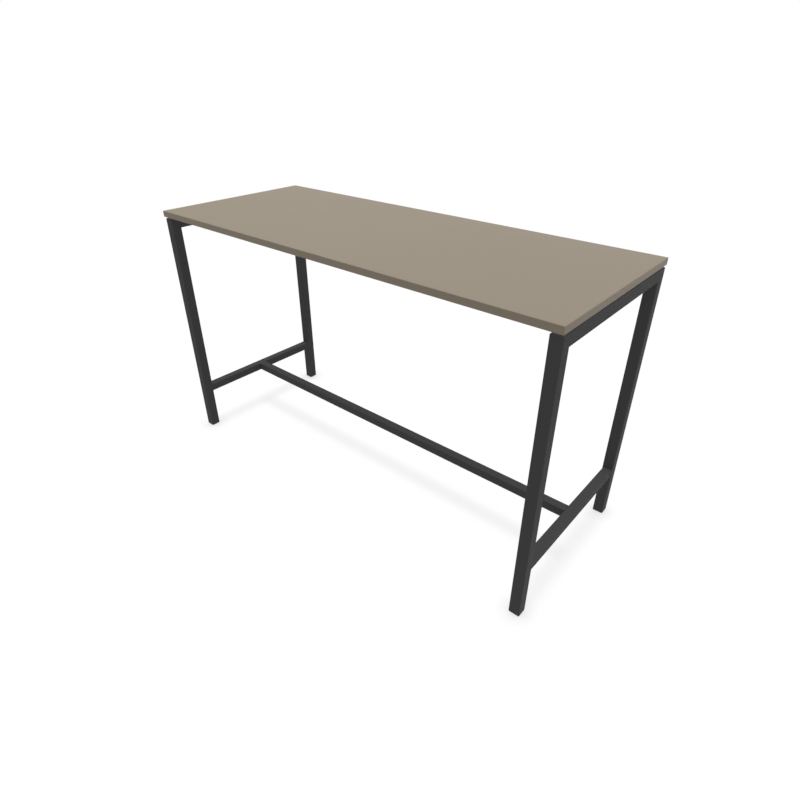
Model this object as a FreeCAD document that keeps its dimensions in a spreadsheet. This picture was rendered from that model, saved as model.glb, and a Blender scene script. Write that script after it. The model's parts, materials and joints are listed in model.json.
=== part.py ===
import FreeCAD, Part
import math
import os
from types import SimpleNamespace

import Sketcher

# A standing-height meeting table. Two welded end frames of square steel tube carry a laminate
# board on a shadow gap. A low stretcher and two beams under the board tie the frames together,
# and four levelling feet screw in and out of the legs.
#
# Frame: +X along the table, +Y to the rear, +Z up. The origin is on the floor under the middle.
# All sizes are in millimetres.

SIZES = {
    # board
    "table_height": 1050.0,
    "top_length": 1800.0,
    "top_depth": 709.0,
    "top_thickness": 24.0,
    "edge_thickness": 2.0,
    "edge_round": 1.5,
    # how the frame lies under the board
    "end_overhang": 0.5,
    "front_overhang": 6.0,
    "shadow_gap": 7.0,
    # legs and top rails
    "leg_size": 40.0,
    "leg_wall": 2.0,
    "leg_round": 3.0,
    "inner_round": 1.0,
    # crossbars and stretcher
    "bar_size": 35.0,
    "bar_wall": 2.0,
    "bar_round": 2.5,
    "bar_top": 222.0,
    "bar_gap": 0.25,
    "drain_radius": 3.0,
    "drain_inset": 30.0,
    # beams under the board
    "beam_width": 20.0,
    "beam_height": 40.0,
    "beam_wall": 2.0,
    "beam_round": 2.5,
    "beam_spacing": 360.0,
    "plate_thickness": 4.0,
    "plate_width": 66.0,
    "plate_height": 30.0,
    "plate_round": 2.0,
    "plate_drop": 2.0,
    "plate_bolt_pitch": 46.0,
    # fixings of the board
    "rail_screw_pitch": 250.0,
    "beam_screw_pitch": 560.0,
    "insert_radius": 5.0,
    "insert_length": 13.0,
    "insert_hole_depth": 15.0,
    "spacer_radius": 12.5,
    "access_radius": 8.0,
    "beam_access_radius": 6.0,
    # screws, nuts and their clearances
    "screw_radius": 3.0,
    "screw_hole_radius": 3.3,
    "screw_head_radius": 5.25,
    "screw_head_height": 3.3,
    "screw_tip_bevel": 0.6,
    "small_bevel": 0.6,
    "socket_flats": 4.0,
    "socket_depth": 2.0,
    "screw_bite": 11.0,
    "thread_clearance": 0.05,
    "fit_clearance": 0.1,
    "rivet_flange_radius": 6.5,
    "rivet_flange_height": 1.0,
    "rivet_body_radius": 4.5,
    "rivet_bulb_radius": 5.8,
    "rivet_bulb_height": 3.0,
    "rivet_length": 13.0,
    # spigots that carry the stretcher
    "spigot_length": 60.0,
    "spigot_wall": 3.0,
    "spigot_round": 2.0,
    "spigot_clearance": 0.5,
    "spigot_screw_inset": 18.0,
    "spigot_screw_pitch": 24.0,
    "spigot_nut_flats": 10.0,
    "spigot_nut_height": 5.0,
    # levelling feet
    "pad_radius": 16.0,
    "pad_height": 4.0,
    "pad_bevel": 0.5,
    "pad_sole": 1.2,
    "pad_lip": 1.2,
    "stud_radius": 5.0,
    "stud_length": 42.0,
    "stud_flange_radius": 6.0,
    "stud_neck_radius": 3.5,
    "stud_play": 0.2,
    "collar_flats": 13.0,
    "collar_height": 4.5,
    "plug_height": 25.0,
    "plug_core": 28.0,
    "plug_fin": 1.6,
    "plug_bore_radius": 5.4,
    "collar_recess_radius": 8.6,
    "foot_nut_flats": 17.0,
    "foot_nut_height": 8.0,
    # how far a cutting shape reaches past the piece that it cuts
    "cut_margin": 5.0,
}

# counts and shares
PLUG_FINS = 4
SCREW_COUNT = 3
HEX_CORNER = 1.0 / math.sqrt(3.0)
HEAD_CROWN = 0.62
HEAD_RIM = 0.35


class Length:
    """A size in millimetres that keeps the spreadsheet formula it comes from."""

    def __init__(self, number, formula):
        self.number = float(number)
        self.formula = formula

    def joined(self, sign, other, number):
        return Length(number, "(%s %s %s)" % (self.formula, sign, other.formula))

    def __add__(self, other):
        other = as_length(other)
        return self.joined("+", other, self.number + other.number)

    def __sub__(self, other):
        other = as_length(other)
        return self.joined("-", other, self.number - other.number)

    def __mul__(self, other):
        other = as_length(other)
        return self.joined("*", other, self.number * other.number)

    def __truediv__(self, other):
        other = as_length(other)
        return self.joined("/", other, self.number / other.number)

    def __neg__(self):
        return Length(-self.number, "(0 - %s)" % self.formula)


def as_length(value):
    """A plain number as a Length, so that both can be added and multiplied."""
    if isinstance(value, Length):
        return value
    return Length(value, repr(float(value)))


doc = FreeCAD.newDocument("standing_table")
sheet = doc.addObject("Spreadsheet::Sheet", "Sizes")
for row, (alias, millimetres) in enumerate(SIZES.items(), start=1):
    sheet.set("A%d" % row, alias)
    sheet.set("B%d" % row, str(millimetres))
    sheet.setAlias("B%d" % row, alias)
doc.recompute()
S = SimpleNamespace(**{a: Length(sheet.get(a), "Sizes." + a) for a in SIZES})

pieces = []


# ---------------------------------------------------------------- sketches


def new_piece(name):
    """A new sub-part, whose label is the name of its file."""
    body = doc.addObject("PartDesign::Body", name)
    body.Label = name
    pieces.append(body)
    return body


def new_sketch(body, role, offset=None):
    """A sketch on one of the piece's own origin planes, moved along its normal."""
    sketch = body.newObject("Sketcher::SketchObject", body.Name + "_sketch")
    sketch.AttachmentSupport = [(origin_part(body, role), "")]
    sketch.MapMode = "FlatFace"
    if offset is not None:
        sketch.setExpression("AttachmentOffset.Base.z", offset.formula)
    return sketch


def hold(sketch, kind, places, length):
    """A dimension of the sketch that follows its spreadsheet formula."""
    index = sketch.addConstraint(Sketcher.Constraint(kind, *places, length.number))
    sketch.setExpression("Constraints[%d]" % index, length.formula)


def hold_point(sketch, geometry, point, x, y):
    """Fixes one point at (x, y). A coordinate of plain 0 keeps the point on the axis."""
    if isinstance(x, Length):
        hold(sketch, "DistanceX", (-1, 1, geometry, point), x)
    else:
        sketch.addConstraint(Sketcher.Constraint("PointOnObject", geometry, point, -2))
    if isinstance(y, Length):
        hold(sketch, "DistanceY", (-1, 1, geometry, point), y)
    else:
        sketch.addConstraint(Sketcher.Constraint("PointOnObject", geometry, point, -1))


def polygon(sketch, corners):
    """A closed outline of straight lines through the corners, each a pair of sizes."""
    first = sketch.GeometryCount
    count = len(corners)
    points = [FreeCAD.Vector(as_length(x).number, as_length(y).number, 0) for x, y in corners]
    for index in range(count):
        line = Part.LineSegment(points[index], points[(index + 1) % count])
        sketch.addGeometry(line, False)
    for index in range(count):
        following = first + (index + 1) % count
        sketch.addConstraint(Sketcher.Constraint("Coincident", first + index, 2, following, 1))
    for index, (x, y) in enumerate(corners):
        hold_point(sketch, first + index, 1, x, y)


def rectangle(sketch, width, height):
    """A rectangle about the sketch's origin."""
    right = width / 2
    top = height / 2
    polygon(sketch, [(-right, -top), (right, -top), (right, top), (-right, top)])


def hexagon(sketch, flats):
    """A regular hexagon about the origin, given by the distance across its flats."""
    corner = flats * HEX_CORNER
    side = corner / 2
    flat = flats / 2
    polygon(
        sketch,
        [(corner, 0), (side, flat), (-side, flat), (-corner, 0), (-side, -flat), (side, -flat)],
    )


def rounded_rectangle(sketch, width, height, radius):
    """A rectangle about the origin whose corners are tangent arcs of one radius."""
    first = sketch.GeometryCount
    half_x = width.number / 2
    half_y = height.number / 2
    r = radius.number
    flat_x = half_x - r
    flat_y = half_y - r
    normal = FreeCAD.Vector(0, 0, 1)
    quarter = math.pi / 2
    sides = [
        ((-flat_x, -half_y), (flat_x, -half_y)),
        ((half_x, -flat_y), (half_x, flat_y)),
        ((flat_x, half_y), (-flat_x, half_y)),
        ((-half_x, flat_y), (-half_x, -flat_y)),
    ]
    centres = [(flat_x, -flat_y), (flat_x, flat_y), (-flat_x, flat_y), (-flat_x, -flat_y)]
    for start, end in sides:
        line = Part.LineSegment(FreeCAD.Vector(*start, 0), FreeCAD.Vector(*end, 0))
        sketch.addGeometry(line, False)
    for turn, centre in enumerate(centres):
        circle = Part.Circle(FreeCAD.Vector(*centre, 0), normal, r)
        arc = Part.ArcOfCircle(circle, (turn - 1) * quarter, turn * quarter)
        sketch.addGeometry(arc, False)
    for turn in range(4):
        side = first + turn
        arc = first + 4 + turn
        following = first + (turn + 1) % 4
        sketch.addConstraint(Sketcher.Constraint("Tangent", side, 2, arc, 1))
        sketch.addConstraint(Sketcher.Constraint("Tangent", arc, 2, following, 1))
    for turn in range(4):
        kind = "Vertical" if turn % 2 else "Horizontal"
        sketch.addConstraint(Sketcher.Constraint(kind, first + turn))
    for turn in range(1, 4):
        sketch.addConstraint(Sketcher.Constraint("Equal", first + 4, first + 4 + turn))
    sketch.addConstraint(Sketcher.Constraint("Symmetric", first, 1, first + 2, 1, -1, 1))
    hold(sketch, "Radius", (first + 4,), radius)
    hold(sketch, "DistanceX", (first + 3, 1, first + 1, 1), width)
    hold(sketch, "DistanceY", (first, 1, first + 2, 1), height)


def circle(sketch, x, y, radius):
    """A circle about (x, y)."""
    centre = FreeCAD.Vector(as_length(x).number, as_length(y).number, 0)
    round_line = Part.Circle(centre, FreeCAD.Vector(0, 0, 1), radius.number)
    index = sketch.addGeometry(round_line, False)
    hold_point(sketch, index, 3, x, y)
    hold(sketch, "Radius", (index,), radius)


# ---------------------------------------------------------------- features


def pad(body, sketch, length, symmetric=False):
    """Raises the sketch along its normal, or both ways from it."""
    feature = body.newObject("PartDesign::Pad", body.Name + "_pad")
    feature.Profile = sketch
    feature.SideType = "Symmetric" if symmetric else "One side"
    feature.setExpression("Length", length.formula)
    return feature


def pocket(body, sketch, depth, upward=False, symmetric=False):
    """Cuts the sketch out of the piece, against its normal, or along it when upward."""
    doc.recompute()
    before = body.Shape.Volume
    feature = body.newObject("PartDesign::Pocket", body.Name + "_pocket")
    feature.Profile = sketch
    feature.SideType = "Symmetric" if symmetric else "One side"
    feature.Reversed = upward
    feature.setExpression("Length", depth.formula)
    doc.recompute()
    if body.Shape.Volume >= before:
        raise RuntimeError("a pocket of %s removes nothing" % body.Label)
    return feature


def turn_round(body, outline):
    """Revolves an outline of (radius, height) corners about the piece's own Z axis."""
    sketch = new_sketch(body, "XZ_Plane")
    polygon(sketch, outline)
    feature = body.newObject("PartDesign::Revolution", body.Name + "_revolution")
    feature.Profile = sketch
    feature.ReferenceAxis = (sketch, ["V_Axis"])
    feature.Angle = 360
    return feature


def origin_part(body, role):
    """One of the piece's own origin planes or axes."""
    return next(item for item in body.Origin.OriginFeatures if item.Role == role)


def row_of(body, role, pitch, count):
    """A pattern of equal steps along one of the piece's own axes."""
    feature = body.newObject("PartDesign::LinearPattern", body.Name + "_pattern")
    feature.Direction = (origin_part(body, role), [""])
    feature.Mode = "Spacing"
    feature.Occurrences = count
    feature.setExpression("Offset", pitch.formula)
    return feature


def repeat(body, features, steps):
    """Repeats features along axes of the piece. A step is (axis, pitch, count)."""
    if len(steps) == 1:
        pattern = row_of(body, *steps[0])
    else:
        pattern = body.newObject("PartDesign::MultiTransform", body.Name + "_patterns")
        pattern.Transformations = [row_of(body, *step) for step in steps]
    pattern.Originals = features
    body.Tip = pattern


def place(body, x, y, z, axis=(0, 0, 1), angle=0):
    """Stands the piece at (x, y, z), turned about an axis through its own origin."""
    turn = FreeCAD.Rotation(FreeCAD.Vector(*axis), angle)
    body.Placement = FreeCAD.Placement(FreeCAD.Vector(), turn)
    for letter, value in zip("xyz", (x, y, z)):
        body.setExpression("Placement.Base." + letter, as_length(value).formula)


def drill(body, role, offset, centres, radius, depth, upward=False):
    """Drills round holes into one face of the piece."""
    sketch = new_sketch(body, role, offset)
    for x, y in centres:
        circle(sketch, x, y, radius)
    return pocket(body, sketch, depth, upward)


def tube(body, role, width, height, wall, corner, length, symmetric=True):
    """A hollow section about the piece's origin, with rounded corners inside and out."""
    sketch = new_sketch(body, role)
    rounded_rectangle(sketch, width, height, corner)
    rounded_rectangle(sketch, width - wall * 2, height - wall * 2, S.inner_round)
    return pad(body, sketch, length, symmetric)


# ---------------------------------------------------------------- where things lie

board_underside = S.table_height - S.top_thickness
frame_top = board_underside - S.shadow_gap
frame_end = S.top_length / 2 - S.end_overhang
frame_front = S.top_depth / 2 - S.front_overhang
leg_x = frame_end - S.leg_size / 2
leg_y = frame_front - S.leg_size / 2
rail_inner_x = frame_end - S.leg_size
bar_z = S.bar_top - S.bar_size / 2
bar_inner_x = leg_x - S.bar_size / 2
beam_y = S.beam_spacing / 2
plate_z = frame_top - S.plate_drop - S.plate_height / 2
plate_outer_x = rail_inner_x - S.rivet_flange_height
plate_inner_x = plate_outer_x - S.plate_thickness
thread_radius = S.screw_radius + S.thread_clearance
collar_recess_depth = S.stud_play * 2 + S.collar_height

SIDES = {"left": -1, "right": 1}
ENDS = {"front": -1, "rear": 1}


def turned(side):
    """A piece on the right is one on the left, turned half round."""
    return 0 if side == "left" else 180


def three(pitch):
    """Places in a row about the middle."""
    return [-pitch, 0, pitch]


# ---------------------------------------------------------------- board


def make_core():
    """The chipboard core with its blind holes for the threaded inserts."""
    body = new_piece("tabletop_core")
    sketch = new_sketch(body, "XY_Plane")
    rectangle(sketch, S.top_length - S.edge_thickness * 2, S.top_depth - S.edge_thickness * 2)
    pad(body, sketch, S.top_thickness)
    centres = [(leg_x * side, y) for side in SIDES.values() for y in three(S.rail_screw_pitch)]
    centres += [(x, beam_y * end) for end in ENDS.values() for x in three(S.beam_screw_pitch)]
    drill(body, "XY_Plane", None, centres, S.insert_radius, S.insert_hole_depth, upward=True)
    place(body, 0, 0, board_underside)


def make_edge_band(name, length, x, y, angle, wraps_corners):
    """One glued-on edge strip. Its outer face looks along -Y before it is turned."""
    body = new_piece(name)
    sketch = new_sketch(body, "XY_Plane")
    rectangle(sketch, length, S.edge_thickness)
    strip = pad(body, sketch, S.top_thickness)
    doc.recompute()
    glue_face = S.edge_thickness.number / 2
    chosen = []
    for index, edge in enumerate(strip.Shape.Edges, start=1):
        depths = [vertex.Point.y for vertex in edge.Vertexes]
        on_glue_face = min(depths) > glue_face / 2
        along = abs(edge.tangentAt(edge.FirstParameter).x) > 0.5
        if not on_glue_face and (along or wraps_corners):
            chosen.append("Edge%d" % index)
    fillet = body.newObject("PartDesign::Fillet", body.Name + "_fillet")
    fillet.Base = (strip, chosen)
    fillet.setExpression("Radius", S.edge_round.formula)
    place(body, x, y, board_underside, angle=angle)


def make_edge_bands():
    """The long strips run the full length, and the short ones fit between them."""
    band_y = (S.top_depth - S.edge_thickness) / 2
    band_x = (S.top_length - S.edge_thickness) / 2
    between = S.top_depth - S.edge_thickness * 2
    make_edge_band("edge_band_front", S.top_length, 0, -band_y, 0, True)
    make_edge_band("edge_band_rear", S.top_length, 0, band_y, 180, True)
    make_edge_band("edge_band_left", between, -band_x, 0, -90, False)
    make_edge_band("edge_band_right", between, band_x, 0, 90, False)


# ---------------------------------------------------------------- fasteners


def make_screws(name, shank, steps, x, y, z, axis=(0, 0, 1), angle=0):
    """Button-head screws with a hexagon socket. The head bears at Z = 0, the shank points up."""
    body = new_piece(name)
    height = S.screw_head_height
    head = S.screw_head_radius
    tip = S.screw_radius - S.screw_tip_bevel
    outline = [
        (0, -height),
        (head * HEAD_CROWN, -height),
        (head, -height * HEAD_RIM),
        (head, 0),
        (S.screw_radius, 0),
        (S.screw_radius, shank - S.screw_tip_bevel),
        (tip, shank),
        (0, shank),
    ]
    blank = turn_round(body, outline)
    sketch = new_sketch(body, "XY_Plane", -height)
    hexagon(sketch, S.socket_flats)
    socket = pocket(body, sketch, S.socket_depth, upward=True)
    repeat(body, [blank, socket], steps)
    place(body, x, y, z, axis, angle)


def make_inserts(name, steps, x, y):
    """Threaded inserts sunk in the board, flush with its underside."""
    body = new_piece(name)
    outer = S.insert_radius - S.thread_clearance
    outline = [
        (thread_radius, 0),
        (outer, 0),
        (outer, S.insert_length - S.small_bevel),
        (outer - S.small_bevel, S.insert_length),
        (thread_radius, S.insert_length),
    ]
    repeat(body, [turn_round(body, outline)], steps)
    place(body, x, y, board_underside)


def make_spacers(name, steps, x, y):
    """Washers that hold the board clear of a top rail."""
    body = new_piece(name)
    outer = S.spacer_radius
    outline = [
        (S.screw_hole_radius, 0),
        (outer - S.small_bevel, 0),
        (outer, S.small_bevel),
        (outer, S.shadow_gap - S.small_bevel),
        (outer - S.small_bevel, S.shadow_gap),
        (S.screw_hole_radius, S.shadow_gap),
    ]
    repeat(body, [turn_round(body, outline)], steps)
    place(body, x, y, frame_top)


def make_board_fixings():
    """Spacers, screws and inserts: three on each top rail, and three on each beam."""
    for side, sign in SIDES.items():
        steps = [("Y_Axis", S.rail_screw_pitch, SCREW_COUNT)]
        x = leg_x * sign
        y = -S.rail_screw_pitch
        shank = S.leg_wall + S.shadow_gap + S.screw_bite
        make_spacers(side + "_top_spacers", steps, x, y)
        make_inserts(side + "_rail_inserts", steps, x, y)
        make_screws(side + "_rail_screws", shank, steps, x, y, frame_top - S.leg_wall)
    for end, sign in ENDS.items():
        steps = [("X_Axis", S.beam_screw_pitch, SCREW_COUNT)]
        x = -S.beam_screw_pitch
        y = beam_y * sign
        shank = S.beam_wall + S.screw_bite
        make_inserts(end + "_beam_inserts", steps, x, y)
        make_screws(end + "_beam_screws", shank, steps, x, y, board_underside - S.beam_wall)


# ---------------------------------------------------------------- end frames


def make_leg(side, end):
    """A leg whose top is mitred at 45 degrees, and whose outer face looks along -Y."""
    body = new_piece("%s_%s_leg" % (side, end))
    length = frame_top - S.pad_height
    size = S.leg_size
    tube(body, "XY_Plane", size, size, S.leg_wall, S.leg_round, length, symmetric=False)
    past = size / 2 + S.cut_margin
    sketch = new_sketch(body, "YZ_Plane")
    high = length + S.cut_margin
    low = length - size - S.cut_margin
    polygon(sketch, [(-past, high), (past, low), (past, high)])
    pocket(body, sketch, size + S.cut_margin, symmetric=True)
    turn = 0 if end == "front" else 180
    place(body, leg_x * SIDES[side], leg_y * ENDS[end], S.pad_height, angle=turn)


def make_top_rail(side):
    """A rail mitred to both legs, with screw holes up and rivet nut holes in its inner wall."""
    body = new_piece(side + "_top_rail")
    size = S.leg_size
    half = size / 2
    tube(body, "XZ_Plane", size, size, S.leg_wall, S.leg_round, frame_front * 2)
    past = half + S.cut_margin
    outer = frame_front + S.cut_margin
    inner = frame_front - size - S.cut_margin
    sketch = new_sketch(body, "YZ_Plane")
    polygon(sketch, [(outer, past), (inner, -past), (outer, -past)])
    polygon(sketch, [(-outer, past), (-outer, -past), (-inner, -past)])
    pocket(body, sketch, size + S.cut_margin, symmetric=True)
    holes = [(0, y) for y in three(S.rail_screw_pitch)]
    drill(body, "XY_Plane", half, holes, S.screw_hole_radius, half)
    drill(body, "XY_Plane", -half, holes, S.access_radius, half, upward=True)
    height = plate_z - (frame_top - half)
    rivets = [(y, height) for y in bolt_places()]
    drill(body, "YZ_Plane", half, rivets, S.rivet_body_radius + S.fit_clearance, half)
    place(body, leg_x * SIDES[side], 0, frame_top - half, angle=turned(side))


def bolt_places():
    """Where the bolts of both beam plates sit along a top rail."""
    half_pitch = S.plate_bolt_pitch / 2
    return [beam_y * end + half_pitch * step for end in (-1, 1) for step in (-1, 1)]


def make_crossbar(side):
    """A low bar welded between the legs, with a drain hole near each end of its underside."""
    body = new_piece(side + "_crossbar")
    length = (frame_front - S.leg_size) * 2
    size = S.bar_size
    tube(body, "XZ_Plane", size, size, S.bar_wall, S.bar_round, length)
    far = length / 2 - S.drain_inset
    drill(body, "XY_Plane", -size / 2, [(0, -far), (0, far)], S.drain_radius, size / 2, upward=True)
    place(body, leg_x * SIDES[side], 0, bar_z)


# ---------------------------------------------------------------- stretcher


def make_stretcher():
    """The low tube between the crossbars, drilled from below for its screws."""
    body = new_piece("stretcher")
    length = (bar_inner_x - S.bar_gap) * 2
    size = S.bar_size
    tube(body, "YZ_Plane", size, size, S.bar_wall, S.bar_round, length)
    near = bar_inner_x - S.spigot_screw_inset
    far = near - S.spigot_screw_pitch
    holes = [(-near, 0), (-far, 0), (far, 0), (near, 0)]
    drill(body, "XY_Plane", -size / 2, holes, S.screw_hole_radius, size / 2, upward=True)
    place(body, 0, 0, bar_z)


def make_spigot(side):
    """The stub welded to a crossbar, which the stretcher slides over."""
    body = new_piece(side + "_spigot")
    size = S.bar_size - S.bar_wall * 2 - S.spigot_clearance * 2
    tube(body, "YZ_Plane", size, size, S.spigot_wall, S.spigot_round, S.spigot_length)
    near = S.spigot_screw_inset - S.spigot_length / 2
    holes = [(near, 0), (near + S.spigot_screw_pitch, 0)]
    drill(body, "XY_Plane", -size / 2, holes, S.screw_hole_radius, size / 2, upward=True)
    middle = bar_inner_x - S.spigot_length / 2
    place(body, middle * SIDES[side], 0, bar_z, angle=turned(side))


def make_stretcher_fixings(side):
    """Two weld nuts inside the spigot, and the screws that reach them from below."""
    sign = SIDES[side]
    steps = [("X_Axis", S.spigot_screw_pitch, 2)]
    near = bar_inner_x - S.spigot_screw_inset
    first = near if sign < 0 else near - S.spigot_screw_pitch
    underside = S.bar_top - S.bar_size
    floor = underside + S.bar_wall + S.spigot_clearance + S.spigot_wall
    body = new_piece(side + "_spigot_nuts")
    sketch = new_sketch(body, "XY_Plane")
    hexagon(sketch, S.spigot_nut_flats)
    circle(sketch, 0, 0, thread_radius)
    repeat(body, [pad(body, sketch, S.spigot_nut_height)], steps)
    place(body, first * sign, 0, floor)
    shank = floor - underside + S.spigot_nut_height + S.small_bevel
    make_screws(side + "_stretcher_screws", shank, steps, first * sign, 0, underside)


# ---------------------------------------------------------------- beams under the board


def make_beam(end):
    """A tube that carries the board between the top rails, with holes for three screws."""
    body = new_piece(end + "_beam")
    width = S.beam_width
    height = S.beam_height
    tube(body, "YZ_Plane", width, height, S.beam_wall, S.beam_round, plate_inner_x * 2)
    holes = [(x, 0) for x in three(S.beam_screw_pitch)]
    drill(body, "XY_Plane", height / 2, holes, S.screw_hole_radius, height / 2)
    drill(body, "XY_Plane", -height / 2, holes, S.beam_access_radius, height / 2, upward=True)
    place(body, 0, beam_y * ENDS[end], board_underside - height / 2)


def make_beam_plate(end, side):
    """The plate welded to one end of a beam, with a bolt hole each side of the tube."""
    body = new_piece("%s_beam_%s_plate" % (end, side))
    sketch = new_sketch(body, "YZ_Plane")
    rounded_rectangle(sketch, S.plate_width, S.plate_height, S.plate_round)
    for step in (-1, 1):
        circle(sketch, S.plate_bolt_pitch / 2 * step, 0, S.screw_hole_radius)
    pad(body, sketch, S.plate_thickness, symmetric=True)
    middle = plate_inner_x + S.plate_thickness / 2
    place(body, middle * SIDES[side], beam_y * ENDS[end], plate_z)


def make_beam_fixings(side):
    """Rivet nuts set in a top rail's inner wall, and the bolts of both beam plates."""
    sign = SIDES[side]
    across = -90 if side == "left" else 90
    pitches = [("Y_Axis", S.plate_bolt_pitch, 2), ("Y_Axis", S.beam_spacing, 2)]
    first_y = -beam_y - S.plate_bolt_pitch / 2
    body = new_piece(side + "_rivet_nuts")
    flange = S.rivet_flange_radius
    shaft = S.rivet_body_radius
    bulb = S.rivet_bulb_radius
    behind = S.leg_wall + S.rivet_bulb_height
    outline = [
        (thread_radius, -S.rivet_flange_height),
        (flange, -S.rivet_flange_height),
        (flange, 0),
        (shaft, 0),
        (shaft, S.leg_wall),
        (bulb, S.leg_wall),
        (shaft, behind),
        (shaft, S.rivet_length),
        (thread_radius, S.rivet_length),
    ]
    repeat(body, [turn_round(body, outline)], pitches)
    place(body, rail_inner_x * sign, first_y, plate_z, (0, 1, 0), across)
    shank = S.plate_thickness + S.rivet_flange_height + S.screw_bite
    x = plate_inner_x * sign
    make_screws(side + "_beam_bolts", shank, pitches, x, first_y, plate_z, (0, 1, 0), across)


# ---------------------------------------------------------------- levelling feet


def make_foot_plug(side, end):
    """The finned plug pressed into a leg, with a recess for the collar and a seat for the nut."""
    body = new_piece("%s_%s_foot_plug" % (side, end))
    fin_size = S.leg_size - S.leg_wall * 2 - S.fit_clearance * 2
    core = new_sketch(body, "XY_Plane")
    rectangle(core, S.plug_core, S.plug_core)
    pad(body, core, S.plug_height)
    outline = new_sketch(body, "XY_Plane")
    rounded_rectangle(outline, fin_size, fin_size, S.inner_round)
    fin = pad(body, outline, S.plug_fin)
    pitch = (S.plug_height - S.plug_fin * 2) / (PLUG_FINS - 1)
    repeat(body, [fin], [("Z_Axis", pitch, PLUG_FINS)])
    middle = [(0, 0)]
    drill(body, "XY_Plane", None, middle, S.plug_bore_radius, S.plug_height, upward=True)
    drill(body, "XY_Plane", None, middle, S.collar_recess_radius, collar_recess_depth, upward=True)
    seat = new_sketch(body, "XY_Plane", S.plug_height)
    hexagon(seat, S.foot_nut_flats + S.fit_clearance)
    pocket(body, seat, S.foot_nut_height)
    place(body, leg_x * SIDES[side], leg_y * ENDS[end], S.pad_height)


def make_foot_nut(side, end):
    """The hexagon nut that the foot's stud turns in."""
    body = new_piece("%s_%s_foot_nut" % (side, end))
    sketch = new_sketch(body, "XY_Plane")
    hexagon(sketch, S.foot_nut_flats)
    circle(sketch, 0, 0, S.stud_radius + S.thread_clearance)
    pad(body, sketch, S.foot_nut_height)
    seat = S.pad_height + S.plug_height - S.foot_nut_height
    place(body, leg_x * SIDES[side], leg_y * ENDS[end], seat)


def make_foot_pad(side, end):
    """The round pad on the floor, hollow inside where it holds the flange of the stud."""
    body = new_piece("%s_%s_foot_pad" % (side, end))
    radius = S.pad_radius
    height = S.pad_height
    bevel = S.pad_bevel
    mouth = S.stud_neck_radius + S.fit_clearance
    room = S.stud_flange_radius + S.stud_play
    ceiling = height - S.pad_lip
    outline = [
        (0, 0),
        (radius - bevel, 0),
        (radius, bevel),
        (radius, height - bevel),
        (radius - bevel, height),
        (mouth, height),
        (mouth, ceiling),
        (room, ceiling),
        (room, S.pad_sole),
        (0, S.pad_sole),
    ]
    turn_round(body, outline)
    place(body, leg_x * SIDES[side], leg_y * ENDS[end], 0)


def make_foot_stud(side, end):
    """The threaded stud: a flange held in the pad, a neck, a hexagon collar and the shank."""
    body = new_piece("%s_%s_foot_stud" % (side, end))
    flange = S.stud_flange_radius
    neck = S.stud_neck_radius
    shank = S.stud_radius
    bottom = S.pad_sole + S.stud_play
    top_of_flange = S.pad_height - S.pad_lip - S.stud_play
    under_collar = S.pad_height + S.stud_play
    outline = [
        (0, bottom),
        (flange, bottom),
        (flange, top_of_flange),
        (neck, top_of_flange),
        (neck, under_collar),
        (shank, under_collar),
        (shank, S.stud_length - S.small_bevel),
        (shank - S.small_bevel, S.stud_length),
        (0, S.stud_length),
    ]
    turn_round(body, outline)
    sketch = new_sketch(body, "XY_Plane", under_collar)
    hexagon(sketch, S.collar_flats)
    pad(body, sketch, S.collar_height)
    place(body, leg_x * SIDES[side], leg_y * ENDS[end], 0)


# ---------------------------------------------------------------- checking and writing


def check_and_write():
    """Stops if any object failed, and otherwise writes each piece to its own file."""
    doc.recompute()
    for item in doc.Objects:
        if "Invalid" in item.State or "Error" in item.State:
            raise RuntimeError("%s failed: %s" % (item.Name, item.State))
    for body in pieces:
        if body.Shape.isNull() or not body.Shape.isValid() or not body.Shape.Solids:
            raise RuntimeError("%s has no valid solid" % body.Label)
    os.makedirs("parts", exist_ok=True)
    for body in pieces:
        body.Shape.exportStep(os.path.join("parts", body.Label + ".step"))
        corners = body.Shape.BoundBox
        print(body.Label, len(body.Shape.Solids), "solids", corners)


make_core()
make_edge_bands()
make_board_fixings()
make_stretcher()
for frame_side in SIDES:
    for frame_end_name in ENDS:
        make_leg(frame_side, frame_end_name)
    make_top_rail(frame_side)
    make_crossbar(frame_side)
    make_spigot(frame_side)
    make_stretcher_fixings(frame_side)
    make_beam_fixings(frame_side)
for beam_end in ENDS:
    make_beam(beam_end)
    for beam_side in SIDES:
        make_beam_plate(beam_end, beam_side)
for foot_side in SIDES:
    for foot_end in ENDS:
        make_foot_plug(foot_side, foot_end)
        make_foot_nut(foot_side, foot_end)
        make_foot_pad(foot_side, foot_end)
        make_foot_stud(foot_side, foot_end)
check_and_write()
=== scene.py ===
import json
import math

import bmesh
import bpy
from mathutils import Matrix, Vector


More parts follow.
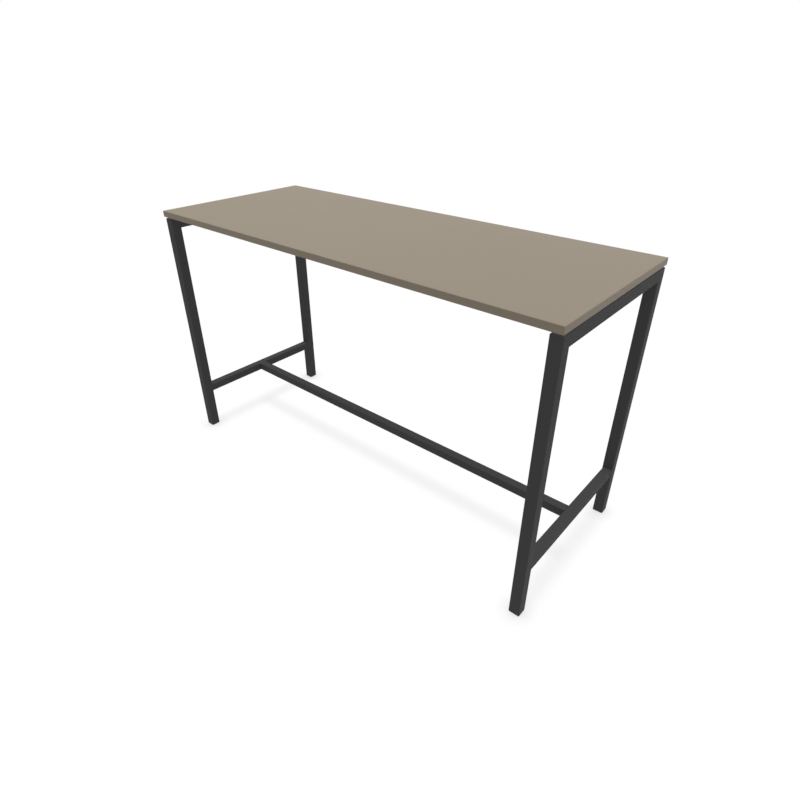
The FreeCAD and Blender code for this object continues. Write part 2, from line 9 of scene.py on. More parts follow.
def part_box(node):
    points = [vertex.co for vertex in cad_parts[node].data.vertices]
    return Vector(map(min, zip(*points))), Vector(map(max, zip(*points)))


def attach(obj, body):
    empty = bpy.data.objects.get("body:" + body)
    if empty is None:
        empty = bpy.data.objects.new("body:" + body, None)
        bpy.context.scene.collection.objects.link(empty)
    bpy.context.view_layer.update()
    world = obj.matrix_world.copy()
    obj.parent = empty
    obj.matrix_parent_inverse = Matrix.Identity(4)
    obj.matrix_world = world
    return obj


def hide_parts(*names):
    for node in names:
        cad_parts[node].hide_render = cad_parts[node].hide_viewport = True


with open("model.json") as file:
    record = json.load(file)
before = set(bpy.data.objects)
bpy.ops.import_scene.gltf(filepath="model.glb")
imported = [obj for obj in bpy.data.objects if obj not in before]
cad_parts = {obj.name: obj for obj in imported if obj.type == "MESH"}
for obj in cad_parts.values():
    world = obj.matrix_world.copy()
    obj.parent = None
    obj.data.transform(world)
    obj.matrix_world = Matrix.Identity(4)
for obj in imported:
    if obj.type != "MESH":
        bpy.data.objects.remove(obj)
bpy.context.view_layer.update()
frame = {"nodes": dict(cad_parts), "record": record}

# A standing meeting table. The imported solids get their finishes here, and the screws, studs and
# pads get their fine forms. The weld beads are added.
#
# Sizes are in metres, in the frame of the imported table: +X along the board, +Y to its rear
# edge, +Z up, with the floor at Z = 0.
MM = 0.001
X_AXIS, Y_AXIS = 0, 1
UP = Vector((0.0, 0.0, 1.0))

SIDES = ("left", "right")
ENDS = ("front", "rear")

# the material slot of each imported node
SLOTS = {entry["node"]: entry["material_slot"] for entry in frame["record"]["subparts"]}

# view, with the lens and its sensor in millimetres
CAMERA_PLACE = (1.4075, -1.5462, 1.5967)
CAMERA_TILT = math.radians(58.780)
CAMERA_TURN = math.radians(40.588)
CAMERA_LENS = 25.577
SENSOR_WIDTH = 36.0

# light, each as the brightness it gives a white sheet that faces it, where 1 is white;
# SKY_SHOWN is how bright the sky itself shows
SKY_LIGHT = 0.20
KEY_LIGHT = 0.18
FILL_LIGHT = 0.53
KEY_FROM = (0.17, -0.12, 1.0)
KEY_SOFTNESS = math.radians(70.0)
SKY_SHOWN = 1.0

# floor: its own glow and the light of a lamp above it make it white together. Its paint is
# nearly black, so that the other lamps' shadows don't show on it. The shade lies round the
# feet, and the streaks are the lamp's shadows of the low bars.
FLOOR_SIZE = 24.0
FLOOR_CLEARANCE = 0.05 * MM
FLOOR_GLOW = 0.81
FLOOR_WHITENESS = 0.02
FLOOR_BOUNCE = 0.50
SHADE_REACH = 0.062
SHADE_DARKEST = 0.54
SHADE_SAMPLES = 24
STREAK_SHARE = 0.180
STREAK_SOFTNESS = math.radians(24.0)

# finishes, as linear colours
LAMINATE_COLOUR = (0.338, 0.287, 0.224, 1.0)
EDGE_COLOUR = (0.296, 0.248, 0.189, 1.0)
GLUE_COLOUR = (0.16, 0.135, 0.105, 1.0)
STEEL_COLOUR = (0.070, 0.070, 0.070, 1.0)
NYLON_COLOUR = (0.020, 0.020, 0.021, 1.0)
ZINC_COLOUR = (0.56, 0.57, 0.58, 1.0)
BLACK_OXIDE_COLOUR = (0.022, 0.022, 0.024, 1.0)
GLUE_LINE = 0.15 * MM
NOISE_MIDDLE = 0.5

# how strongly the finishes mirror
PLASTIC_GLOSS = 0.5
LAMINATE_GLOSS = 0.15
EDGE_GLOSS = 0.15
STEEL_GLOSS = 0.05

# edges that turn by more than this stay crisp
CRISP_ANGLE = math.radians(35.0)

# screws with a domed head and a hexagon socket
SCREW_RADIUS = 3.0 * MM
SCREW_HEAD_RADIUS = 5.25 * MM
SCREW_HEAD_HEIGHT = 3.3 * MM
SCREW_CROWN_RADIUS = 0.62 * SCREW_HEAD_RADIUS
SCREW_RIM = 0.7 * MM
SCREW_TIP = 0.6 * MM
SCREW_SEGMENTS = 24
SOCKET_FLATS = 4.0 * MM
SOCKET_DEPTH = 2.0 * MM
DOME_STEPS = 4
BOLT_PITCH = 46.0 * MM

# levelling feet
STUD_RADIUS = 5.0 * MM
STUD_FLANGE_RADIUS = 6.0 * MM
STUD_NECK_RADIUS = 3.5 * MM
STUD_TIP = 1.0 * MM
STUD_SEGMENTS = 36
COLLAR_FLATS = 13.0 * MM
COLLAR_HEIGHT = 4.5 * MM
PLAY = 0.2 * MM
PAD_MOUTH_PLAY = 0.1 * MM
PAD_LIP = 1.2 * MM
PAD_SOLE = 1.2 * MM
PAD_BEVEL = 0.5 * MM
PAD_SEGMENTS = 64
PAD_GROOVES = (7.0 * MM, 10.0 * MM, 13.0 * MM)
GROOVE_WIDTH = 0.9 * MM
GROOVE_DEPTH = 0.4 * MM

# thread of the studs; the flat of its crest is a share of the pitch, and the rings of points
# are those of one turn
THREAD_PITCH = 1.5 * MM
THREAD_DEPTH = 0.85 * MM
THREAD_FLAT = 0.125
THREAD_RINGS = 8

# welds between the low crossbars and the legs, and the rounds of the bars that they run along
BAR_ROUND = 2.5 * MM
BAR_ROUND_STEPS = 6
CIRCULAR = 0.5
WELD_RADIUS = 1.7 * MM
WELD_ROUND_STEPS = 3
WELD_RIPPLE = 0.18
WELD_STEP = 1.6 * MM


# ---------------------------------------------------------------- shader node groups


def new_group(name, inputs, outputs):
    """A shader node group with named sockets, and its input and output nodes."""
    group = bpy.data.node_groups.new(name, "ShaderNodeTree")
    for label, kind in inputs.items():
        group.interface.new_socket(label, in_out="INPUT", socket_type=kind)
    for label, kind in outputs.items():
        group.interface.new_socket(label, in_out="OUTPUT", socket_type=kind)
    return group, group.nodes.new("NodeGroupInput"), group.nodes.new("NodeGroupOutput")


def calculate(tree, operation, *values):
    """A Math node on one or two values, each a socket or a number. Returns its output socket."""
    node = tree.nodes.new("ShaderNodeMath")
    node.operation = operation
    for socket, value in zip(node.inputs, values):
        if isinstance(value, bpy.types.NodeSocket):
            tree.links.new(value, socket)
        else:
            socket.default_value = value
    return node.outputs["Value"]


def noise(tree, vector, scale, detail):
    """A noise texture, with its vector and its scale from sockets. Returns its value socket."""
    node = tree.nodes.new("ShaderNodeTexNoise")
    node.inputs["Detail"].default_value = detail
    tree.links.new(vector, node.inputs["Vector"])
    tree.links.new(scale, node.inputs["Scale"])
    return node.outputs["Fac"]


def swing(tree, value, strength):
    """A noise value as a swing round zero, times a strength. Returns its socket."""
    centred = calculate(tree, "SUBTRACT", value, NOISE_MIDDLE)
    return calculate(tree, "MULTIPLY", centred, strength)


def speckle_group():
    """A colour with cloudy drift and a fine fleck, each with its own strength."""
    group, given, result = new_group(
        "speckle",
        {
            "Vector": "NodeSocketVector",
            "Colour": "NodeSocketColor",
            "Cloud Scale": "NodeSocketFloat",
            "Cloud": "NodeSocketFloat",
            "Fleck Scale": "NodeSocketFloat",
            "Fleck": "NodeSocketFloat",
        },
        {"Colour": "NodeSocketColor", "Mask": "NodeSocketFloat"},
    )
    place = given.outputs
    cloud = noise(group, place["Vector"], place["Cloud Scale"], detail=3.0)
    fleck = noise(group, place["Vector"], place["Fleck Scale"], detail=2.0)
    drift = swing(group, cloud, place["Cloud"])
    grain = swing(group, fleck, place["Fleck"])
    gain = calculate(group, "ADD", calculate(group, "ADD", drift, grain), 1.0)
    tinted = group.nodes.new("ShaderNodeVectorMath")
    tinted.operation = "SCALE"
    group.links.new(place["Colour"], tinted.inputs["Vector"])
    group.links.new(gain, tinted.inputs["Scale"])
    group.links.new(tinted.outputs["Vector"], result.inputs["Colour"])
    group.links.new(cloud, result.inputs["Mask"])
    return group


def skin_group():
    """The height of a sprayed or moulded skin: shallow waves with a finer grain on them."""
    group, given, result = new_group(
        "skin",
        {
            "Vector": "NodeSocketVector",
            "Wave Scale": "NodeSocketFloat",
            "Grain Scale": "NodeSocketFloat",
            "Grain Share": "NodeSocketFloat",
        },
        {"Height": "NodeSocketFloat"},
    )
    place = given.outputs
    wave = noise(group, place["Vector"], place["Wave Scale"], detail=1.0)
    grain = noise(group, place["Vector"], place["Grain Scale"], detail=2.0)
    mix = group.nodes.new("ShaderNodeMix")
    group.links.new(place["Grain Share"], mix.inputs["Factor"])
    group.links.new(wave, mix.inputs["A"])
    group.links.new(grain, mix.inputs["B"])
    group.links.new(mix.outputs["Result"], result.inputs["Height"])
    return group


SPECKLE = speckle_group()
SKIN = skin_group()


# ---------------------------------------------------------------- materials


def place_group(tree, group, vector, values):
    """A shared group in a material, with its own values for the group's named inputs."""
    node = tree.nodes.new("ShaderNodeGroup")
    node.node_tree = group
    tree.links.new(vector, node.inputs["Vector"])
    for label, value in values.items():
        node.inputs[label].default_value = value
    return node


def finish(name, colour, speckle, skin, rough, spread, depth, metallic=0.0, gloss=PLASTIC_GLOSS):
    """A material: a speckled colour, a roughness that drifts by its spread, and a fine skin."""
    material = bpy.data.materials.new(name)
    material.use_nodes = True
    tree = material.node_tree
    shader = tree.nodes["Principled BSDF"]
    vector = tree.nodes.new("ShaderNodeTexCoord").outputs["Object"]
    tint = place_group(tree, SPECKLE, vector, {"Colour": colour, **speckle})
    tree.links.new(tint.outputs["Colour"], shader.inputs["Base Color"])
    vary = tree.nodes.new("ShaderNodeMapRange")
    vary.inputs["To Min"].default_value = rough - spread
    vary.inputs["To Max"].default_value = rough + spread
    tree.links.new(tint.outputs["Mask"], vary.inputs["Value"])
    tree.links.new(vary.outputs["Result"], shader.inputs["Roughness"])
    grain = place_group(tree, SKIN, vector, skin)
    bump = tree.nodes.new("ShaderNodeBump")
    bump.inputs["Distance"].default_value = depth
    tree.links.new(grain.outputs["Height"], bump.inputs["Height"])
    tree.links.new(bump.outputs["Normal"], shader.inputs["Normal"])
    shader.inputs["Metallic"].default_value = metallic
    shader.inputs["Specular IOR Level"].default_value = gloss
    return material


def glue_line(tree):
    """1 on the thin line round the board where the edge bands meet it. Returns its socket."""
    split = tree.nodes.new("ShaderNodeSeparateXYZ")
    place = tree.nodes.new("ShaderNodeTexCoord").outputs["Object"]
    tree.links.new(place, split.inputs["Vector"])
    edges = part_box("tabletop_core")[1]
    outside = []
    for axis, edge in (("X", edges.x), ("Y", edges.y)):
        distance = calculate(tree, "ABSOLUTE", split.outputs[axis])
        outside.append(calculate(tree, "GREATER_THAN", distance, edge - GLUE_LINE))
    return calculate(tree, "MAXIMUM", *outside)


def recolour(tree, share, colour):
    """Lays a colour over a shader's own where a share is 1."""
    base = tree.nodes["Principled BSDF"].inputs["Base Color"]
    mix = tree.nodes.new("ShaderNodeMix")
    mix.data_type = "RGBA"
    first, second = [socket for socket in mix.inputs if socket.type == "RGBA"]
    tree.links.new(share, mix.inputs["Factor"])
    tree.links.new(base.links[0].from_socket, first)
    second.default_value = colour
    mixed = next(socket for socket in mix.outputs if socket.type == "RGBA")
    tree.links.new(mixed, base)


def laminate():
    """Matt laminate with a fine fleck, and the glue line round it."""
    material = finish(
        "matt_laminate",
        LAMINATE_COLOUR,
        {"Cloud Scale": 2.5, "Cloud": 0.03, "Fleck Scale": 800.0, "Fleck": 0.20},
        {"Wave Scale": 600.0, "Grain Scale": 2400.0, "Grain Share": 0.5},
        rough=0.60,
        spread=0.08,
        depth=0.05 * MM,
        gloss=LAMINATE_GLOSS,
    )
    tree = material.node_tree
    recolour(tree, glue_line(tree), GLUE_COLOUR)
    return material


def edge_band():
    """Matt plastic band, a little darker than the laminate."""
    return finish(
        "matt_edge_band",
        EDGE_COLOUR,
        {"Cloud Scale": 5.0, "Cloud": 0.02, "Fleck Scale": 1400.0, "Fleck": 0.06},
        {"Wave Scale": 450.0, "Grain Scale": 1900.0, "Grain Share": 0.3},
        rough=0.5,
        spread=0.05,
        depth=0.02 * MM,
        gloss=EDGE_GLOSS,
    )


def powder_coat():
    """Charcoal powder coat with its fine orange peel, for all the tubes and plates."""
    return finish(
        "charcoal_powder_coat",
        STEEL_COLOUR,
        {"Cloud Scale": 9.0, "Cloud": 0.05, "Fleck Scale": 1500.0, "Fleck": 0.22},
        {"Wave Scale": 480.0, "Grain Scale": 1500.0, "Grain Share": 0.5},
        rough=0.66,
        spread=0.06,
        depth=0.32 * MM,
        gloss=STEEL_GLOSS,
    )


def moulded_nylon():
    """Black nylon from a mould, for the pads and the foot plugs."""
    return finish(
        "moulded_black_nylon",
        NYLON_COLOUR,
        {"Cloud Scale": 30.0, "Cloud": 0.05, "Fleck Scale": 1800.0, "Fleck": 0.08},
        {"Wave Scale": 900.0, "Grain Scale": 2500.0, "Grain Share": 0.5},
        rough=0.5,
        spread=0.08,
        depth=0.03 * MM,
    )


def turned_nylon():
    """Black nylon from a lathe, for the spacers."""
    return finish(
        "turned_black_nylon",
        NYLON_COLOUR,
        {"Cloud Scale": 40.0, "Cloud": 0.05, "Fleck Scale": 1600.0, "Fleck": 0.08},
        {"Wave Scale": 900.0, "Grain Scale": 2500.0, "Grain Share": 0.5},
        rough=0.45,
        spread=0.06,
        depth=0.02 * MM,
    )


def bright_zinc():
    """Bright zinc on steel, a little cloudy, for the nuts, inserts and studs."""
    return finish(
        "bright_zinc",
        ZINC_COLOUR,
        {"Cloud Scale": 90.0, "Cloud": 0.14, "Fleck Scale": 1500.0, "Fleck": 0.12},
        {"Wave Scale": 600.0, "Grain Scale": 2400.0, "Grain Share": 0.5},
        rough=0.32,
        spread=0.10,
        depth=0.02 * MM,
        metallic=1.0,
    )


def black_oxide():
    """Black oxide on steel, for the screws and bolts."""
    return finish(
        "black_oxide",
        BLACK_OXIDE_COLOUR,
        {"Cloud Scale": 120.0, "Cloud": 0.15, "Fleck Scale": 1700.0, "Fleck": 0.12},
        {"Wave Scale": 900.0, "Grain Scale": 2600.0, "Grain Share": 0.5},
        rough=0.38,
        spread=0.10,
        depth=0.02 * MM,
        metallic=0.6,
    )


# one material for each of the record's slots
MATERIALS = {
    "tabletop_laminate": laminate(),
    "edge_band": edge_band(),
    "coated_steel": powder_coat(),
    "black_nylon": moulded_nylon(),
    "spacer_nylon": turned_nylon(),
    "zinc_steel": bright_zinc(),
    "black_screws": black_oxide(),
}


def dress_nodes():
    """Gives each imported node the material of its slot."""
    for node, slot in SLOTS.items():
        worn = frame["nodes"][node].data.materials
        worn.clear()
        worn.append(MATERIALS[slot])


# ---------------------------------------------------------------- pieces


def add_object(name, data):
    """A new object in the scene."""
    item = bpy.data.objects.new(name, data)
    bpy.context.scene.collection.objects.link(item)
    return item


def add_piece(name, shape, body, slot, replaced=()):
    """Turns a bmesh into a piece that rides on a body, with the material of its slot."""
    bmesh.ops.recalc_face_normals(shape, faces=shape.faces)
    mesh = bpy.data.meshes.new(name)
    shape.to_mesh(mesh)
    shape.free()
    mesh.materials.append(MATERIALS[slot])
    mesh.shade_smooth()
    mesh.set_sharp_from_angle(angle=CRISP_ANGLE)
    piece = add_object(name, mesh)
    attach(piece, body)
    if replaced:
        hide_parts(*replaced)


def hexagon_share(angle):
    """How far a hexagon's outline lies from its centre, for half its flats as 1."""
    sixth = math.pi / 3
    return 1.0 / math.cos((angle + sixth / 2) % sixth - sixth / 2)


def place_ring(ring, level):
    """Moves a ring of points to (radius, height), or to (half flats, height, "hex")."""
    for vertex in ring:
        angle = math.atan2(vertex.co.y, vertex.co.x)
        radius = level[0] * (hexagon_share(angle) if len(level) == 3 else 1.0)
        vertex.co = (radius * math.cos(angle), radius * math.sin(angle), level[1])


def rim_of(shape, ring):
    """The edges that run round a ring of points."""
    points = set(ring)
    return [edge for edge in shape.edges if points.issuperset(edge.verts)]


def add_rings(shape, rings, segments, matrix):
    """A closed form drawn out from ring to ring, with its first and last ring filled."""
    made = bmesh.ops.create_circle(shape, segments=segments, radius=1.0, cap_ends=True)
    ring = made["verts"]
    place_ring(ring, rings[0])
    points = list(ring)
    for level in rings[1:]:
        grown = bmesh.ops.extrude_edge_only(shape, edges=rim_of(shape, ring))["geom"]
        ring = [item for item in grown if isinstance(item, bmesh.types.BMVert)]
        place_ring(ring, level)
        points += ring
    bmesh.ops.edgeloop_fill(shape, edges=rim_of(shape, ring))
    bmesh.ops.transform(shape, matrix=matrix, verts=points)


# ---------------------------------------------------------------- screws


def screw_rings(shank):
    """The outline of a screw with a domed head, from its socket's floor to its tip."""
    mouth = SOCKET_FLATS / 2
    top = -SCREW_HEAD_HEIGHT
    rings = [(mouth, top + SOCKET_DEPTH, "hex"), (mouth, top, "hex")]
    for step in range(DOME_STEPS + 1):
        angle = step / DOME_STEPS * math.pi / 2
        outward = (SCREW_HEAD_RADIUS - SCREW_CROWN_RADIUS) * math.sin(angle)
        down = (SCREW_HEAD_HEIGHT - SCREW_RIM) * (1.0 - math.cos(angle))
        rings.append((SCREW_CROWN_RADIUS + outward, top + down))
    rings += [(SCREW_HEAD_RADIUS, 0.0), (SCREW_RADIUS, 0.0)]
    rings += [(SCREW_RADIUS, shank - SCREW_TIP), (SCREW_RADIUS - SCREW_TIP, shank)]
    return rings


def add_screws(node, places, axis):
    """The screws of one node. A place is where a head bears, and the shank points along axis."""
    low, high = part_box(node)
    along = max(range(3), key=lambda index: abs(axis[index]))
    shank = high[along] - low[along] - SCREW_HEAD_HEIGHT
    turn = UP.rotation_difference(Vector(axis)).to_matrix().to_4x4()
    shape = bmesh.new()
    for place in places:
        matrix = Matrix.Translation(place) @ turn
        add_rings(shape, screw_rings(shank), SCREW_SEGMENTS, matrix)
    add_piece(node + "_domed", shape, "table", SLOTS[node], [node])


def add_screw_row(node, along, count):
    """A node's screws that point up, evenly in one row along an axis of its box."""
    low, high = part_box(node)
    first = low[along] + SCREW_HEAD_RADIUS
    last = high[along] - SCREW_HEAD_RADIUS
    places = []
    for number in range(count):
        place = (low + high) / 2
        place.z = low.z + SCREW_HEAD_HEIGHT
        place[along] = first + (last - first) * number / (count - 1)
        places.append(place)
    add_screws(node, places, UP)


def add_beam_bolts(side):
    """The bolts from the plates of both beams into one top rail."""
    places = []
    for end in ENDS:
        low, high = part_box("%s_beam_%s_plate" % (end, side))
        middle = (low + high) / 2
        inner = high.x if side == "left" else low.x
        places += [(inner, middle.y + step * BOLT_PITCH / 2, middle.z) for step in (-1, 1)]
    outward = -1 if side == "left" else 1
    add_screws(side + "_beam_bolts", places, (outward, 0, 0))


def make_screws():
    """Every screw and bolt of the table."""
    for side in SIDES:
        add_screw_row(side + "_rail_screws", Y_AXIS, count=3)
    for end in ENDS:
        add_screw_row(end + "_beam_screws", X_AXIS, count=3)
    for side in SIDES:
        add_screw_row(side + "_stretcher_screws", X_AXIS, count=2)
    for side in SIDES:
        add_beam_bolts(side)


# ---------------------------------------------------------------- levelling feet


def wind_thread(points, bottom, top):
    """Sinks a screw thread into the plain shank between two heights, fading at its ends."""
    for vertex in points:
        height = vertex.co.z
        if not bottom < height < top:
            continue
        turn = math.atan2(vertex.co.y, vertex.co.x) / (2 * math.pi)
        from_crest = 2 * abs((height / THREAD_PITCH - turn) % 1.0 - 0.5)
        share = min(max((from_crest - THREAD_FLAT) / (1.0 - 2 * THREAD_FLAT), 0.0), 1.0)
        fade = min(1.0, (height - bottom) / THREAD_PITCH, (top - height) / THREAD_PITCH)
        radius = STUD_RADIUS - THREAD_DEPTH * share * fade
        length = math.hypot(vertex.co.x, vertex.co.y)
        vertex.co.x *= radius / length
        vertex.co.y *= radius / length


def make_stud(side, end):
    """A stud with its flange, neck, hexagon collar and wound thread."""
    node = "%s_%s_foot_stud" % (side, end)
    pad_low, pad_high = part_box("%s_%s_foot_pad" % (side, end))
    low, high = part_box(node)
    centre = (pad_low + pad_high) / 2
    flange_top = pad_high.z - PAD_LIP - PLAY
    collar_bottom = pad_high.z + PLAY
    collar_top = collar_bottom + COLLAR_HEIGHT
    shank_top = high.z - STUD_TIP
    flats = COLLAR_FLATS / 2
    rings = [
        (STUD_FLANGE_RADIUS, low.z),
        (STUD_FLANGE_RADIUS, flange_top),
        (STUD_NECK_RADIUS, flange_top),
        (STUD_NECK_RADIUS, collar_bottom),
        (flats, collar_bottom, "hex"),
        (flats, collar_top, "hex"),
    ]
    steps = round((shank_top - collar_top) / THREAD_PITCH * THREAD_RINGS)
    for step in range(steps + 1):
        rings.append((STUD_RADIUS, collar_top + (shank_top - collar_top) * step / steps))
    rings.append((STUD_RADIUS - STUD_TIP, high.z))
    shape = bmesh.new()
    add_rings(shape, rings, STUD_SEGMENTS, Matrix.Identity(4))
    wind_thread(shape.verts, collar_top, shank_top)
    place = Matrix.Translation((centre.x, centre.y, 0.0))
    bmesh.ops.transform(shape, matrix=place, verts=shape.verts)
    add_piece(node + "_threaded", shape, "%s_%s_stud" % (side, end), SLOTS[node], [node])


def make_pad(side, end):
    """A round pad that snaps over the stud's flange, with grooves in its sole."""
    node = "%s_%s_foot_pad" % (side, end)
    low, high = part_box(node)
    centre = (low + high) / 2
    radius = (high.x - low.x) / 2
    mouth = STUD_NECK_RADIUS + PAD_MOUTH_PLAY
    room = STUD_FLANGE_RADIUS + PLAY
    ceiling = high.z - PAD_LIP
    rings = [(room, PAD_SOLE), (room, ceiling), (mouth, ceiling), (mouth, high.z)]
    rings += [(radius - PAD_BEVEL, high.z), (radius, high.z - PAD_BEVEL)]
    rings += [(radius, PAD_BEVEL), (radius - PAD_BEVEL, 0.0)]
    half = GROOVE_WIDTH / 2
    for groove in reversed(PAD_GROOVES):
        rings += [(groove + half, 0.0), (groove + half / 2, GROOVE_DEPTH)]
        rings += [(groove - half / 2, GROOVE_DEPTH), (groove - half, 0.0)]
    shape = bmesh.new()
    add_rings(shape, rings, PAD_SEGMENTS, Matrix.Translation((centre.x, centre.y, 0.0)))
    add_piece(node + "_grooved", shape, "%s_%s_pad" % (side, end), SLOTS[node], [node])


def make_feet():
    """The stud and the pad of each foot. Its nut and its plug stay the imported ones."""
    for side in SIDES:
        for end in ENDS:
            make_stud(side, end)
            make_pad(side, end)


# ---------------------------------------------------------------- welds


def bar_outline(half_width, half_height):
    """The points round a bar's section with its rounded corners."""
    shape = bmesh.new()
    bmesh.ops.create_grid(shape, x_segments=1, y_segments=1, size=1.0)
    bmesh.ops.scale(shape, vec=(half_width, half_height, 1.0), verts=shape.verts)
    bmesh.ops.bevel(
        shape,
        geom=list(shape.verts),
        offset=BAR_ROUND,
        segments=BAR_ROUND_STEPS,
        profile=CIRCULAR,
        affect="VERTICES",
        material=-1,
    )
    outline = [vertex.co.copy() for vertex in next(iter(shape.faces)).verts]
    shape.free()
    return outline


def resample(outline, step):
    """Points about one step apart along a closed outline, an even number of them."""
    following = outline[1:] + outline[:1]
    lengths = [(there - here).length for here, there in zip(outline, following)]
    total = sum(lengths)
    count = 2 * round(total / step / 2)
    points = []
    for number in range(count):
        left = total * number / count
        index = 0
        while left > lengths[index]:
            left -= lengths[index]
            index += 1
        points.append(outline[index].lerp(following[index], left / lengths[index]))
    return points


def bead_shape(points):
    """A bead along a closed line of points, thinner at every second one."""
    curve = bpy.data.curves.new("bead", "CURVE")
    curve.dimensions = "3D"
    curve.bevel_depth = WELD_RADIUS
    curve.bevel_resolution = WELD_ROUND_STEPS
    spline = curve.splines.new("POLY")
    spline.points.add(len(points) - 1)
    spline.use_cyclic_u = True
    for index, (target, point) in enumerate(zip(spline.points, points)):
        target.co = (*point, 1.0)
        target.radius = 1.0 - WELD_RIPPLE * (index % 2)
    bead = bpy.data.objects.new("bead", curve)
    shape = bmesh.new()
    shape.from_mesh(bpy.data.meshes.new_from_object(bead))
    bpy.data.objects.remove(bead)
    return shape


def make_welds():
    """The bead round each end of both crossbars, where they meet the legs."""
    for side in SIDES:
        low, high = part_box(side + "_crossbar")
        centre = (low + high) / 2
        outline = bar_outline((high.x - low.x) / 2, (high.z - low.z) / 2)
        ring = resample(outline, WELD_STEP)
        for end, y in zip(ENDS, (low.y, high.y)):
            points = [(centre.x + point.x, y, centre.z + point.y) for point in ring]
            name = "%s_%s_crossbar_weld" % (side, end)
            add_piece(name, bead_shape(points), "table", "coated_steel")


# ---------------------------------------------------------------- floor, light and camera


def grey(level):
    """An even grey, for a shader's own socket."""
    return (level, level, level, 1.0)


def shown_rays(tree):
    """1 for the rays that show the surroundings: the camera's, and those of gloss and glass."""
    path = tree.nodes.new("ShaderNodeLightPath")
    shown = path.outputs["Is Camera Ray"]
    for ray in ("Is Glossy Ray", "Is Transmission Ray"):
        shown = calculate(tree, "MAXIMUM", shown, path.outputs[ray])
    return shown


def mix_shaders(tree, share, first, second):
    """A Mix Shader node on three sockets. Returns its output socket."""
    node = tree.nodes.new("ShaderNodeMixShader")
    for socket, source in zip(node.inputs, (share, first, second)):
        tree.links.new(source, socket)
    return node.outputs["Shader"]


def floor_as_shown(tree):
    """A glow that falls to a soft shade round the feet, with the light of the lamp above."""
    near = tree.nodes.new("ShaderNodeAmbientOcclusion")
    near.samples = SHADE_SAMPLES
    near.inputs["Distance"].default_value = SHADE_REACH
    shade = tree.nodes.new("ShaderNodeMapRange")
    shade.inputs["To Min"].default_value = SHADE_DARKEST * FLOOR_GLOW
    shade.inputs["To Max"].default_value = FLOOR_GLOW
    tree.links.new(near.outputs["AO"], shade.inputs["Value"])
    glow = tree.nodes.new("ShaderNodeEmission")
    tree.links.new(shade.outputs["Result"], glow.inputs["Color"])
    lit = tree.nodes.new("ShaderNodeBsdfDiffuse")
    lit.inputs["Color"].default_value = grey(FLOOR_WHITENESS)
    shown = tree.nodes.new("ShaderNodeAddShader")
    tree.links.new(glow.outputs["Emission"], shown.inputs[0])
    tree.links.new(lit.outputs["BSDF"], shown.inputs[1])
    return shown.outputs["Shader"]


def floor_material():
    """White where it shows, a weaker glow for the light it throws back, and clear from below.

    It is clear there so that the table's underside can be looked at."""
    material = bpy.data.materials.new("white_floor")
    material.use_nodes = True
    material.cycles.emission_sampling = "NONE"
    tree = material.node_tree
    tree.nodes.clear()
    glow = tree.nodes.new("ShaderNodeEmission")
    glow.inputs["Color"].default_value = grey(FLOOR_BOUNCE)
    bounce = glow.outputs["Emission"]
    from_above = mix_shaders(tree, shown_rays(tree), bounce, floor_as_shown(tree))
    below = tree.nodes.new("ShaderNodeNewGeometry").outputs["Backfacing"]
    clear = tree.nodes.new("ShaderNodeBsdfTransparent").outputs["BSDF"]
    output = tree.nodes.new("ShaderNodeOutputMaterial")
    tree.links.new(mix_shaders(tree, below, from_above, clear), output.inputs["Surface"])
    return material


def make_floor():
    """A wide sheet just under the feet."""
    mesh = bpy.data.meshes.new("floor")
    shape = bmesh.new()
    bmesh.ops.create_grid(shape, x_segments=1, y_segments=1, size=FLOOR_SIZE / 2)
    shape.to_mesh(mesh)
    shape.free()
    mesh.materials.append(floor_material())
    floor = add_object("floor", mesh)
    floor.location.z = -FLOOR_CLEARANCE
    return floor


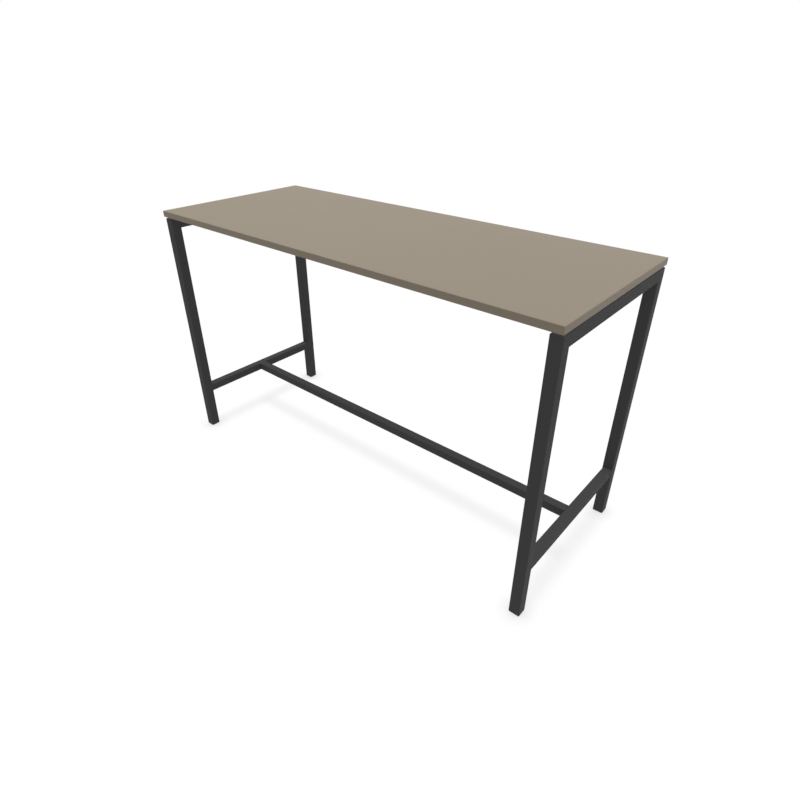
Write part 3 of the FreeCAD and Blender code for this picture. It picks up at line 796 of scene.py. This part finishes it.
def make_world():
    """An even pale sky that lights the table softly, and shows as white to camera and gloss."""
    world = bpy.data.worlds.new("pale_studio")
    bpy.context.scene.world = world
    world.use_nodes = True
    tree = world.node_tree
    tree.nodes.clear()
    output = tree.nodes.new("ShaderNodeOutputWorld")
    background = tree.nodes.new("ShaderNodeBackground")
    background.inputs["Color"].default_value = grey(1.0)
    strength = tree.nodes.new("ShaderNodeMix")
    strength.inputs["A"].default_value = SKY_LIGHT
    strength.inputs["B"].default_value = SKY_SHOWN
    tree.links.new(shown_rays(tree), strength.inputs["Factor"])
    tree.links.new(strength.outputs["Result"], background.inputs["Strength"])
    tree.links.new(background.outputs["Background"], output.inputs["Surface"])


def make_sun(name, light, origin, softness):
    """A broad lamp from far off. A white sheet that faces it shines as much as its light."""
    data = bpy.data.lights.new(name, "SUN")
    data.energy = light * math.pi
    data.angle = softness
    sun = add_object(name, data)
    sun.rotation_euler = Vector(origin).to_track_quat("Z", "Y").to_euler()
    return sun


def listed(name, objects):
    """A collection for a lamp's list of lit or shading objects."""
    collection = bpy.data.collections.new(name)
    for item in objects:
        collection.objects.link(item)
    return collection


def light_table():
    """Soft light from above and a little to the right, most of it without shadows."""
    make_sun("key", KEY_LIGHT, KEY_FROM, KEY_SOFTNESS)
    fill = make_sun("fill", FILL_LIGHT, KEY_FROM, KEY_SOFTNESS)
    fill.data.use_shadow = False


def light_floor(floor):
    """A lamp straight above, for the floor alone, that throws the low bars' shadows on it."""
    above = make_sun("above", STREAK_SHARE / FLOOR_WHITENESS, UP, STREAK_SOFTNESS)
    bars = [frame["nodes"][name] for name in ("left_crossbar", "right_crossbar", "stretcher")]
    above.light_linking.receiver_collection = listed("lit_floor", [floor])
    above.light_linking.blocker_collection = listed("low_bars", bars)


def make_camera():
    """The camera, at the height of a standing person's eyes off the right front corner."""
    data = bpy.data.cameras.new("camera")
    data.lens = CAMERA_LENS
    data.sensor_width = SENSOR_WIDTH
    camera = add_object("camera", data)
    camera.location = CAMERA_PLACE
    camera.rotation_euler = (CAMERA_TILT, 0.0, CAMERA_TURN)
    bpy.context.scene.camera = camera


make_camera()
make_world()
light_table()
light_floor(make_floor())
dress_nodes()
make_screws()
make_feet()
make_welds()

bpy.context.scene.view_settings.view_transform = "Standard"
